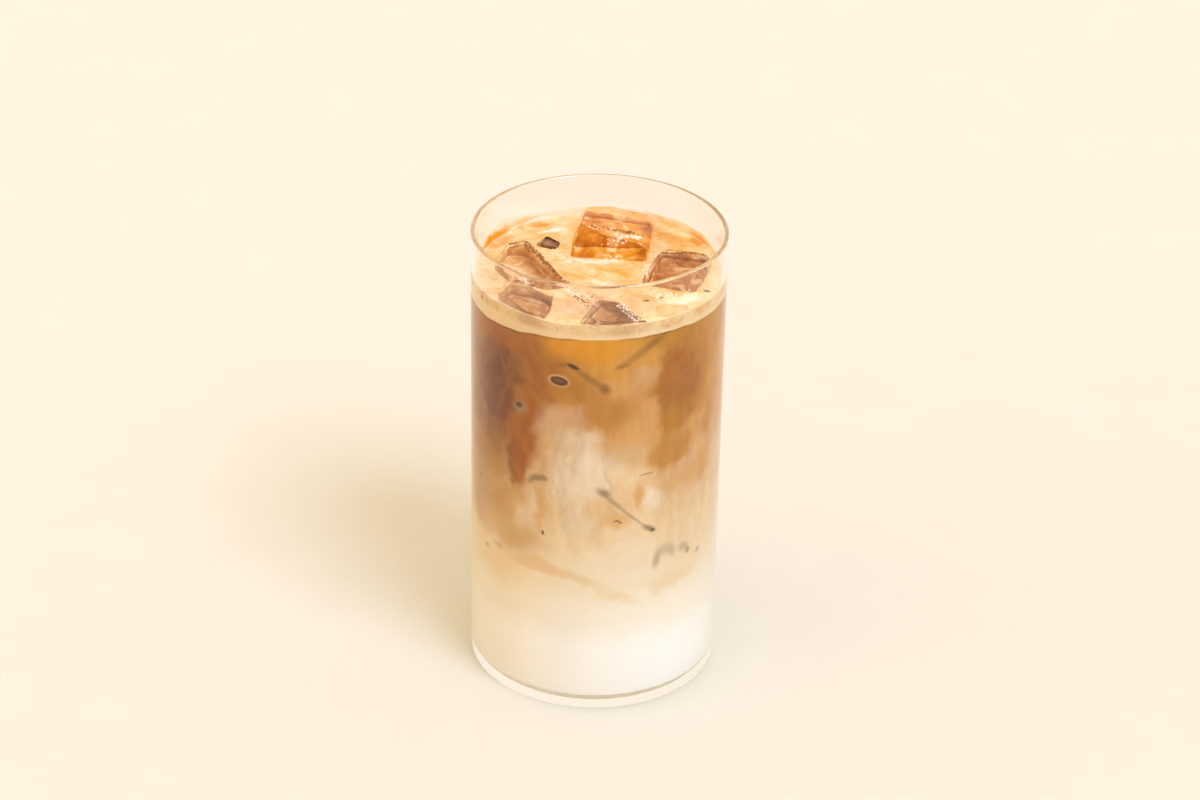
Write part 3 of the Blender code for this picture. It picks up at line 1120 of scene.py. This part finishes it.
crema, crema_output = new_material("crema")
foam_place = add_node(crema, "ShaderNodeTexCoord").outputs["Object"]
swirls = add_node(
    crema,
    "ShaderNodeTexNoise",
    {"Vector": foam_place, "Scale": 1 / SWIRL_SIZE, "Detail": 4.0, "Roughness": 0.55, "Distortion": 0.8},
)
foam_colours = add_node(crema, "ShaderNodeValToRGB", {"Fac": swirls.outputs[0]})
foam_stops = foam_colours.color_ramp.elements
foam_stops.new(MIDDLE_OF_NOISE)
for stop, (position, tone) in zip(foam_stops, FOAM_TONES):
    stop.position = position
    stop.color = linear(tone)
foam_parts = add_node(crema, "ShaderNodeSeparateXYZ", {0: foam_place})
foam_flat = add_node(
    crema, "ShaderNodeCombineXYZ", {"X": foam_parts.outputs["X"], "Y": foam_parts.outputs["Y"]}
)
foam_radius = add_node(
    crema, "ShaderNodeVectorMath", {0: foam_flat.outputs[0]}, operation="LENGTH"
)
near_wall = add_node(
    crema,
    "ShaderNodeMapRange",
    {
        "Value": foam_radius.outputs["Value"],
        "From Min": PALE_FROM,
        "From Max": DRINK_RADIUS,
        "To Max": WALL_SHARE,
    },
    interpolation_type="SMOOTHSTEP",
)
foam_tone = add_node(
    crema,
    "ShaderNodeMix",
    {0: near_wall.outputs[0], 6: foam_colours.outputs[0], 7: linear(FOAM_AT_WALL)},
    data_type="RGBA",
)

# %% [markdown]
# Seen from above, the foam is a map of its own: amber oil gathers at the back, brown coffee shows
# between the blocks in front, and pale froth lies in streaks. These are soft ovals again, placed in
# millimetres right and back from the middle, and curled by noise.

# %% Patches on the foam
def patch(colour, right, back, half_width, half_height, **more):
    """A soft oval on the foam seen from above, placed in millimetres right and back."""
    return Plume(colour, math.degrees(right * MM / OUTSIDE_RADIUS), back, half_width, half_height, **more)


FOAM_PATCHES = (
    # amber oil that gathers at the back and in the middle
    patch("#DE962A", -17, 29, 6, 2.4),
    patch("#E09A30", 20.4, 22.6, 6, 3, lean=-40),
    patch("#E0962A", 28, 18.5, 5, 2.4, lean=-55),
    patch("#E09A34", -28.5, 17.5, 6, 2.6, lean=50),
    patch("#EDB55C", 6, 1.6, 9, 3, lean=10, strength=0.7),
    patch("#E6AE60", -10, -5, 5, 3, lean=-30, strength=0.6),
    # brown coffee between the blocks in front
    patch("#DDB283", -2, -23, 22, 8, strength=0.75),
    patch("#E4BE8C", 0, -12, 16, 6, strength=0.5),
    patch("#C4905A", 4, -33.5, 9, 2.4, strength=0.8),
    patch("#CC9C66", -19, -30, 7, 2.4, lean=-30, strength=0.8),
    patch("#C98E48", -3, -16, 8, 3.5, lean=-20, strength=0.9),
    patch("#D2A060", 12, -17, 6, 3, lean=15, strength=0.8),
    patch("#D8A868", 26, -9, 5, 3, lean=40, strength=0.7),
    # pale froth
    patch("#FBF0DA", -14, 24.8, 5, 1.2, lean=15),
    patch("#FAE8C4", -4, 5.5, 6, 1.1, lean=-8),
    patch("#FAE8C4", 8, 8, 5, 1.1, lean=15),
    patch("#FBEBCB", 23, -18, 7, 2.6, lean=25),
    patch("#FAE6C0", 0, -8, 6, 1.4, lean=-15),
    patch("#FAE6C0", -27, -20, 6, 1.6, lean=-40),
    # grounds and specks
    patch("#7E460E", 13.5, -18.2, 0.8, 0.6, soft=0.4),
    patch("#7E460E", 17.5, -16.1, 0.7, 0.5, soft=0.4),
    patch("#7E460E", 30, -11.3, 1.0, 0.7, soft=0.4),
    patch("#9A5A1C", -34, -15.9, 1.6, 0.9, lean=-50, soft=0.5),
)
FOAM_CURL = 6.0 * MM
FOAM_CURL_PUSH = 5.0
foam_plan = add_node(
    crema, "ShaderNodeVectorMath", {0: foam_flat.outputs[0], "Scale": 1 / MM}, operation="SCALE"
)
curled_plan = add_node(
    crema,
    "ShaderNodeVectorMath",
    {0: foam_plan.outputs[0], 1: frayed(crema, foam_place, FOAM_CURL, FOAM_CURL_PUSH, 5.0)},
    operation="ADD",
)
foam_colour = foam_tone.outputs[2]
for oil in FOAM_PATCHES:
    foam_colour = oil.lay_over(crema, curled_plan.outputs[0], foam_colour)
print(len(FOAM_PATCHES), "patches on the foam")

# %% [markdown]
# Closer up, foam is flecked where its bubbles are coarse or fine. Where it meets the wall, small
# bubbles pack into one pale line along its lower edge.

# %% Flecks, and the pale line at the wall
FOAM_FLECKS = (
    # size, share of full colour, colour
    (1.8 * MM, 0.45, "#C08C4C"),
    (3.2 * MM, 0.4, "#FAE8C6"),
)
FLECKS_FROM = 0.52
FLECKS_FULL = 0.68
for fleck_size, fleck_share, fleck_colour in FOAM_FLECKS:
    fleck = add_node(
        crema,
        "ShaderNodeTexNoise",
        {"Vector": foam_place, "Scale": 1 / fleck_size, "Detail": 4.0, "Roughness": 0.6, "Distortion": 0.6},
    )
    fleck_here = add_node(
        crema,
        "ShaderNodeMapRange",
        {
            "Value": fleck.outputs[0],
            "From Min": FLECKS_FROM,
            "From Max": FLECKS_FULL,
            "To Max": fleck_share,
        },
    )
    foam_colour = add_node(
        crema,
        "ShaderNodeMix",
        {0: fleck_here.outputs[0], 6: foam_colour, 7: linear(fleck_colour)},
        data_type="RGBA",
    ).outputs[2]
PALE_LINE_TOP = 126.6 * MM
PALE_LINE_FULL = 125.2 * MM
PALE_LINE_SHARE = 0.8
pale_line = add_node(
    crema,
    "ShaderNodeMapRange",
    {
        "Value": foam_parts.outputs["Z"],
        "From Min": PALE_LINE_TOP,
        "From Max": PALE_LINE_FULL,
        "To Max": PALE_LINE_SHARE,
    },
)
foam_colour = add_node(
    crema,
    "ShaderNodeMix",
    {0: pale_line.outputs[0], 6: foam_colour, 7: linear(FOAM_AT_WALL)},
    data_type="RGBA",
).outputs[2]

# %% [markdown]
# The finest bubbles are too small to model one by one, so rounded cells give them as relief only.

# %% Fine bubbles and the foam's finish
BUBBLE_SIZE = 0.9 * MM
BUBBLE_RELIEF = 0.25 * MM
BUBBLE_STRENGTH = 0.4
bubbles = add_node(
    crema, "ShaderNodeTexVoronoi", {"Vector": foam_place, "Scale": 1 / BUBBLE_SIZE}
)
foam_bump = add_node(
    crema,
    "ShaderNodeBump",
    {"Strength": BUBBLE_STRENGTH, "Distance": BUBBLE_RELIEF, "Height": bubbles.outputs["Distance"]},
)
foam_shader = add_node(
    crema,
    "ShaderNodeBsdfPrincipled",
    {
        "Base Color": foam_colour,
        "Roughness": FOAM_ROUGHNESS,
        "IOR": FOAM_IOR,
        "Normal": foam_bump.outputs[0],
    },
)
crema.node_tree.links.new(foam_shader.outputs[0], crema_output.inputs["Surface"])

# %% The foam's surface
FOAM_SIDES = 224
FOAM_RING = 0.7 * MM
CREEP_UP_WALL = 0.7 * MM
CREEP_WIDTH = 2.0 * MM
CREEP_UP_ICE = 0.55 * MM
CREEP_REACH = 0.9 * MM
FOAM_LUMP = 0.25 * MM
FOAM_LUMP_SIZE = 6.0 * MM

ice_tree = {name: surface_of(block.data) for name, block in floating_ice.items()}


def distance_to_ice(point):
    """How far the nearest ice is from a point."""
    nearest = [tree.find_nearest(point)[3] for tree in ice_tree.values()]
    return min(nearest)


def foam_surface(x, y):
    """Height of the foam, which creeps up the wall and up the ice."""
    climb = max((math.hypot(x, y) - (DRINK_RADIUS - CREEP_WIDTH)) / CREEP_WIDTH, 0.0)
    lump = noise.noise(Vector((x, y, 0.0)) / FOAM_LUMP_SIZE) * FOAM_LUMP
    creep = CREEP_UP_ICE * math.exp(-distance_to_ice(Vector((x, y, FOAM_TOP))) / CREEP_REACH)
    return FOAM_TOP + CREEP_UP_WALL * climb**2 + lump + creep


foam_radii = [FOAM_RING * step for step in range(int(DRINK_RADIUS / FOAM_RING))] + [DRINK_RADIUS]
foam_cap = layer("foam_cap", foam_radii, FOAM_SIDES, foam_edge, foam_surface, crema)
make_room(foam_cap)
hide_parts("crema")
on_the_part(foam_cap)

# The cutters have done their work
for room in list(ice_room.objects):
    bpy.data.objects.remove(room)
bpy.data.collections.remove(ice_room)

# %% [markdown]
# ## What the drink leaves on the wall
# A thin film of milk and oil clings to the far wall above the foam, perhaps from when the drink
# stood higher. It is a closed strip, thickest at the foam and thinning out towards its
# ragged top, and it reaches just into the glass so that no air shows between them.

# %% The film at the back
FILM_FROM = 92
FILM_TO = 268
FILM_TOPS = (
    # degrees round from the front by the right, millimetres up
    (92, 128.2),
    (110, 129.3),
    (125, 130.8),
    (150, 131.0),
    (180, 130.9),
    (207, 130.9),
    (235, 132.7),
    (252, 131.0),
    (268, 128.2),
)
FILM_STEPS = 240
FILM_ROWS = 8
FILM_FOOT = 127.2 * MM
FILM_THICKNESS = 0.3 * MM
FILM_EDGE = 0.04 * MM
FILM_FRAY = 3.0 * MM
FILM_RAGGED = 0.7 * MM
FILM_CREAM = "#FBE9C6"
FILM_ROUGHNESS = 0.5
FILM_STAINS = (
    Plume("#EEA424", -118, 128.9, 10, 2.2, lean=-4, soft=0.6),
    Plume("#EDA430", -104, 128.4, 6, 1.6, strength=0.9),
    Plume("#F6CC84", -140, 130.2, 8, 1.2, strength=0.9),
    Plume("#EFAE40", 122, 128.8, 8, 1.6, strength=0.9),
    Plume("#F6C878", 145, 129.2, 8, 1.2, strength=0.8),
    Plume("#FDF6E6", -150, 129.2, 6, 0.9, strength=0.9),
)
milk_film, film_output = new_material("milk_film")
film_flat, film_ragged, film_place = unrolled_wall(milk_film)
film_colour = add_node(milk_film, "ShaderNodeRGB").outputs[0]
film_colour.default_value = linear(FILM_CREAM)
for stain in FILM_STAINS:
    film_colour = stain.lay_over(milk_film, film_ragged, film_colour)
film_shader = add_node(
    milk_film,
    "ShaderNodeBsdfPrincipled",
    {"Base Color": film_colour, "Roughness": FILM_ROUGHNESS, "Specular IOR Level": WET_CONTACT_SHINE},
)
milk_film.node_tree.links.new(film_shader.outputs[0], film_output.inputs["Surface"])

film = bmesh.new()
columns = []
for step in range(FILM_STEPS + 1):
    azimuth = FILM_FROM + (FILM_TO - FILM_FROM) * step / FILM_STEPS
    outwards = Vector((math.sin(math.radians(azimuth)), -math.cos(math.radians(azimuth)), 0.0))
    ragged = noise.noise(outwards * OUTSIDE_RADIUS / FILM_FRAY) * FILM_RAGGED
    top = max(level_at(FILM_TOPS, azimuth) + ragged, FILM_FOOT + MM)
    inner = []
    outer = []
    for row in range(FILM_ROWS + 1):
        share = row / FILM_ROWS
        up = Vector((0.0, 0.0, FILM_FOOT + (top - FILM_FOOT) * share))
        depth = FILM_EDGE + (FILM_THICKNESS - FILM_EDGE) * math.sqrt(1 - share)
        inner.append(film.verts.new(outwards * (INSIDE_RADIUS - depth) + up))
        outer.append(film.verts.new(outwards * (INSIDE_RADIUS + FILM_EDGE) + up))
    columns.append(inner + outer[::-1])
for before, after in zip(columns, columns[1:]):
    for corner in range(len(before)):
        following = (corner + 1) % len(before)
        film.faces.new((before[corner], before[following], after[following], after[corner]))
film.faces.new(columns[0])
film.faces.new(columns[-1][::-1])
wall_film = piece_from("film_on_the_wall", film, milk_film)
on_the_part(wall_film)

# %% [markdown]
# ## Froth
# Small bubbles gather where foam meets ice and wall. Near the surface they look pale, and against
# dark coffee they look brown. Each is a real little ball, a little more than half sunk in what it
# sits on. A seeded draw strews them along lines. Some lines were measured in the photograph, and the
# others were placed to fill the gaps between them.
# Two of the pale lines lie on the ice, and their white balls are painted highlights that stand for its
# glints.

# %% Strew bubbles along lines
FROTH_SEED = 23
SKY = 0.16
SUNK_SHARE = 0.25
froth_draw = random.Random(FROTH_SEED)
PALE_FROTH_AND_GLINT_LINES = (
    # start, end, half width of the band, number of bubbles
    ((-5, 4.5), (3.7, 5.6), 1.1, 150),
    ((3.7, 5.6), (12, 8.8), 1.1, 150),
    # white balls here and on the next line stand for glints on the ice: painted highlights
    ((-22.2, -9.5), (-16.9, -15.5), 1.3, 170),
    ((6.0, -25), (11.0, -31), 1.6, 110),
    ((-9, -13), (-1, -18), 2.0, 90),
    ((16, -14), (27, -15), 2.2, 110),
    ((14, 4), (13, -8), 1.4, 90),
    ((-14, 12), (-8, 4), 1.4, 70),
)
BROWN_LINES = (
    ((-22, 8), (-8.5, -11), 1.2, 230),
    ((18, 6), (32, 4.4), 0.7, 70),
    ((6.4, -26), (11.8, -31.6), 1.0, 50),
    ((-6.7, -16), (-0.3, -25), 1.2, 40),
    ((-3, 10), (10, 11), 1.0, 60),
)
SMALL_BUBBLE = 0.12 * MM
LARGE_BUBBLE = 0.36 * MM
FROTH_BLOTCH = 1.5 * MM
FROTH_ROUGHNESS = 0.2


def top_of_drink(x, y):
    """Height of the ice, or else of the foam, under a place."""
    heights = [foam_surface(x, y)]
    for tree in ice_tree.values():
        met = tree.ray_cast(Vector((x, y, SKY)), Vector((0.0, 0.0, -1.0)))[0]
        if met:
            heights.append(met.z)
    return max(heights)


def bubble_ball(froth, x, y, radius):
    """One bubble, its middle just below the surface that it sits on."""
    place = Matrix.Translation((x, y, top_of_drink(x, y) - SUNK_SHARE * radius))
    bmesh.ops.create_icosphere(froth, subdivisions=2, radius=radius, matrix=place)


def strewn(lines):
    """Balls strewn along lines."""
    froth = bmesh.new()
    for (start_x, start_y), (end_x, end_y), half_width, count in lines:
        for _ in range(count):
            share = froth_draw.random()
            x = (start_x + (end_x - start_x) * share + froth_draw.gauss(0, half_width / 2)) * MM
            y = (start_y + (end_y - start_y) * share + froth_draw.gauss(0, half_width / 2)) * MM
            radius = froth_draw.uniform(SMALL_BUBBLE, LARGE_BUBBLE)
            if math.hypot(x, y) + radius < INSIDE_RADIUS:
                bubble_ball(froth, x, y, radius)
    return froth


def froth_finish(name, shade, bright):
    """Wet bubbles: glossy, in two tones a few millimetres apart."""
    material, output = new_material(name)
    place = add_node(material, "ShaderNodeTexCoord").outputs["Object"]
    blotch = add_node(material, "ShaderNodeTexNoise", {"Vector": place, "Scale": 1 / FROTH_BLOTCH})
    tone = add_node(
        material,
        "ShaderNodeMix",
        {0: blotch.outputs[0], 6: linear(shade), 7: linear(bright)},
        data_type="RGBA",
    )
    shader = add_node(
        material,
        "ShaderNodeBsdfPrincipled",
        {"Base Color": tone.outputs[2], "Roughness": FROTH_ROUGHNESS, "IOR": FOAM_IOR},
    )
    material.node_tree.links.new(shader.outputs[0], output.inputs["Surface"])
    return material


# pale froth, and on two lines over the ice painted highlights for its glints
wet_cream_and_glints = froth_finish("pale_froth_and_glints", "#F0CE98", "#FFF6E4")
pale_froth_and_glints = piece_from("pale_froth_and_glints", strewn(PALE_FROTH_AND_GLINT_LINES), wet_cream_and_glints)
on_the_part(pale_froth_and_glints)
wet_coffee = froth_finish("brown_froth", "#6E3A10", "#B47838")
brown_froth = piece_from("brown_froth", strewn(BROWN_LINES), wet_coffee)
on_the_part(brown_froth)

# %% [markdown]
# ## The studio
# The drink stands on a cream seamless ground under a big soft light from the front right. Its
# shadow falls softly to the left and back. A warm fill from all round keeps the shadow pale.
# The thick foot of a real glass gathers sun from the paper round it and glows. Those paths are too
# rare to be found in a few samples, so the paper under the foot, which nothing else can see, gives
# off that light itself.

# %% Cream seamless ground
FLOOR_HALF = 4.0
FOOT_GLOW_RADIUS = 34.0 * MM
FOOT_GLOW_TINT = "#FFF3E2"
FOOT_GLOW = 0.98
FLOOR_GRAIN = 30 * MM
PAPER_SHADE = "#DDDAC8"
PAPER_LIGHT = "#E1DECC"
PAPER_ROUGHNESS = 0.9
ground, ground_output = new_material("seamless_paper")
ground_place = add_node(ground, "ShaderNodeTexCoord").outputs["Object"]
mottle = add_node(ground, "ShaderNodeTexNoise", {"Vector": ground_place, "Scale": 1 / FLOOR_GRAIN})
ground_tone = add_node(
    ground,
    "ShaderNodeMix",
    {0: mottle.outputs[0], 6: linear(PAPER_SHADE), 7: linear(PAPER_LIGHT)},
    data_type="RGBA",
)
ground_shader = add_node(
    ground,
    "ShaderNodeBsdfPrincipled",
    {"Base Color": ground_tone.outputs[2], "Roughness": PAPER_ROUGHNESS, "Specular IOR Level": 0.0},
)
ground.node_tree.links.new(ground_shader.outputs[0], ground_output.inputs["Surface"])
sheet = bmesh.new()
rings = []
for radius in (FOOT_GLOW_RADIUS, 4 * OUTSIDE_RADIUS, FLOOR_HALF):
    rings.append(bmesh.ops.create_circle(sheet, segments=GLASS_SIDES, radius=radius)["verts"])
for inner, outer in zip(rings, rings[1:]):
    for corner in range(GLASS_SIDES):
        after = (corner + 1) % GLASS_SIDES
        sheet.faces.new((inner[corner], inner[after], outer[after], outer[corner]))
ground_sheet = piece_from("ground", sheet, ground)

sunlit_paper, glow_output = new_material("sunlit_paper")
glow = add_node(
    sunlit_paper,
    "ShaderNodeEmission",
    {"Color": linear(FOOT_GLOW_TINT), "Strength": FOOT_GLOW},
)
sunlit_paper.node_tree.links.new(glow.outputs[0], glow_output.inputs["Surface"])
disc = bmesh.new()
bmesh.ops.create_circle(disc, cap_ends=True, segments=GLASS_SIDES, radius=FOOT_GLOW_RADIUS)
glowing_paper = piece_from("glowing_paper", disc, sunlit_paper)

# %% Lights
KEY_AZIMUTH = 40
KEY_HEIGHT = 49
KEY_SPREAD = 27
KEY_STRENGTH = 2.2
FILL_STRENGTH = 1.08
LEFT_AZIMUTH = -72
LEFT_HEIGHT = 14
LEFT_SPREAD = 60
LEFT_STRENGTH = 0.7


def from_front(azimuth, height):
    """Direction to a place round the drink, in degrees round from the front and up."""
    round_by = math.radians(azimuth)
    up_by = math.radians(height)
    return Vector((
        math.sin(round_by) * math.cos(up_by),
        -math.cos(round_by) * math.cos(up_by),
        math.sin(up_by),
    ))


def softbox(name, azimuth, height, spread, strength, tint):
    """A far soft light, so wide that it covers so many degrees of the sky."""
    lamp = bpy.data.lights.new(name, "SUN")
    lamp.angle = math.radians(spread)
    lamp.energy = strength
    lamp.color = linear(tint)[:3]
    light = bpy.data.objects.new(name, lamp)
    light.rotation_mode = "QUATERNION"
    light.rotation_quaternion = from_front(azimuth, height).to_track_quat("Z", "Y")
    bpy.context.scene.collection.objects.link(light)


softbox("soft_key", KEY_AZIMUTH, KEY_HEIGHT, KEY_SPREAD, KEY_STRENGTH, "#BFD1FF")
softbox("left_reflector", LEFT_AZIMUTH, LEFT_HEIGHT, LEFT_SPREAD, LEFT_STRENGTH, "#FFE6C8")

studio = bpy.data.worlds.new("warm_studio")
studio.use_nodes = True
air = studio.node_tree.nodes["Background"]
air.inputs["Color"].default_value = linear("#FFEBD5")
air.inputs["Strength"].default_value = FILL_STRENGTH
bpy.context.scene.world = studio
bpy.context.scene.view_settings.view_transform = "Standard"

# Light runs round inside a glass wall by bouncing many times, so it may bounce more than usual
LIGHT_BOUNCES = 24
light_paths = bpy.context.scene.cycles
light_paths.max_bounces = LIGHT_BOUNCES
light_paths.glossy_bounces = LIGHT_BOUNCES
light_paths.transmission_bounces = LIGHT_BOUNCES

# %% [markdown]
# ## The camera
# The photograph was taken from about a metre away through a short telephoto lens, looking down at
# 29 degrees and rolled by about one. These numbers were found by fitting the ellipses of the rim
# and foot and the two straight sides.

# %% Aim the camera
CAMERA_ELEVATION = 29.2064
CAMERA_ROLL = 1.1256
CAMERA_DISTANCE = 0.94698
CAMERA_LENS = 96.45
SENSOR_WIDTH = 36.0
CAMERA_TARGET = Vector((0.00102, 0.0, 0.08516))

tilt = math.radians(CAMERA_ELEVATION)
roll = math.radians(CAMERA_ROLL)
backwards = Vector((0.0, -math.cos(tilt), math.sin(tilt)))
level_right = Vector((1.0, 0.0, 0.0))
level_up = Vector((0.0, math.sin(tilt), math.cos(tilt)))
right = level_right * math.cos(roll) + level_up * math.sin(roll)
up = level_up * math.cos(roll) - level_right * math.sin(roll)
camera_data = bpy.data.cameras.new("camera")
camera_data.sensor_width = SENSOR_WIDTH
camera_data.lens = CAMERA_LENS
camera_data.clip_start = 0.05
camera_data.clip_end = 20.0
camera = bpy.data.objects.new("camera", camera_data)
axes = Matrix((right, up, backwards)).transposed().to_4x4()
camera.matrix_world = Matrix.Translation(CAMERA_TARGET + backwards * CAMERA_DISTANCE) @ axes
bpy.context.scene.collection.objects.link(camera)
bpy.context.scene.camera = camera
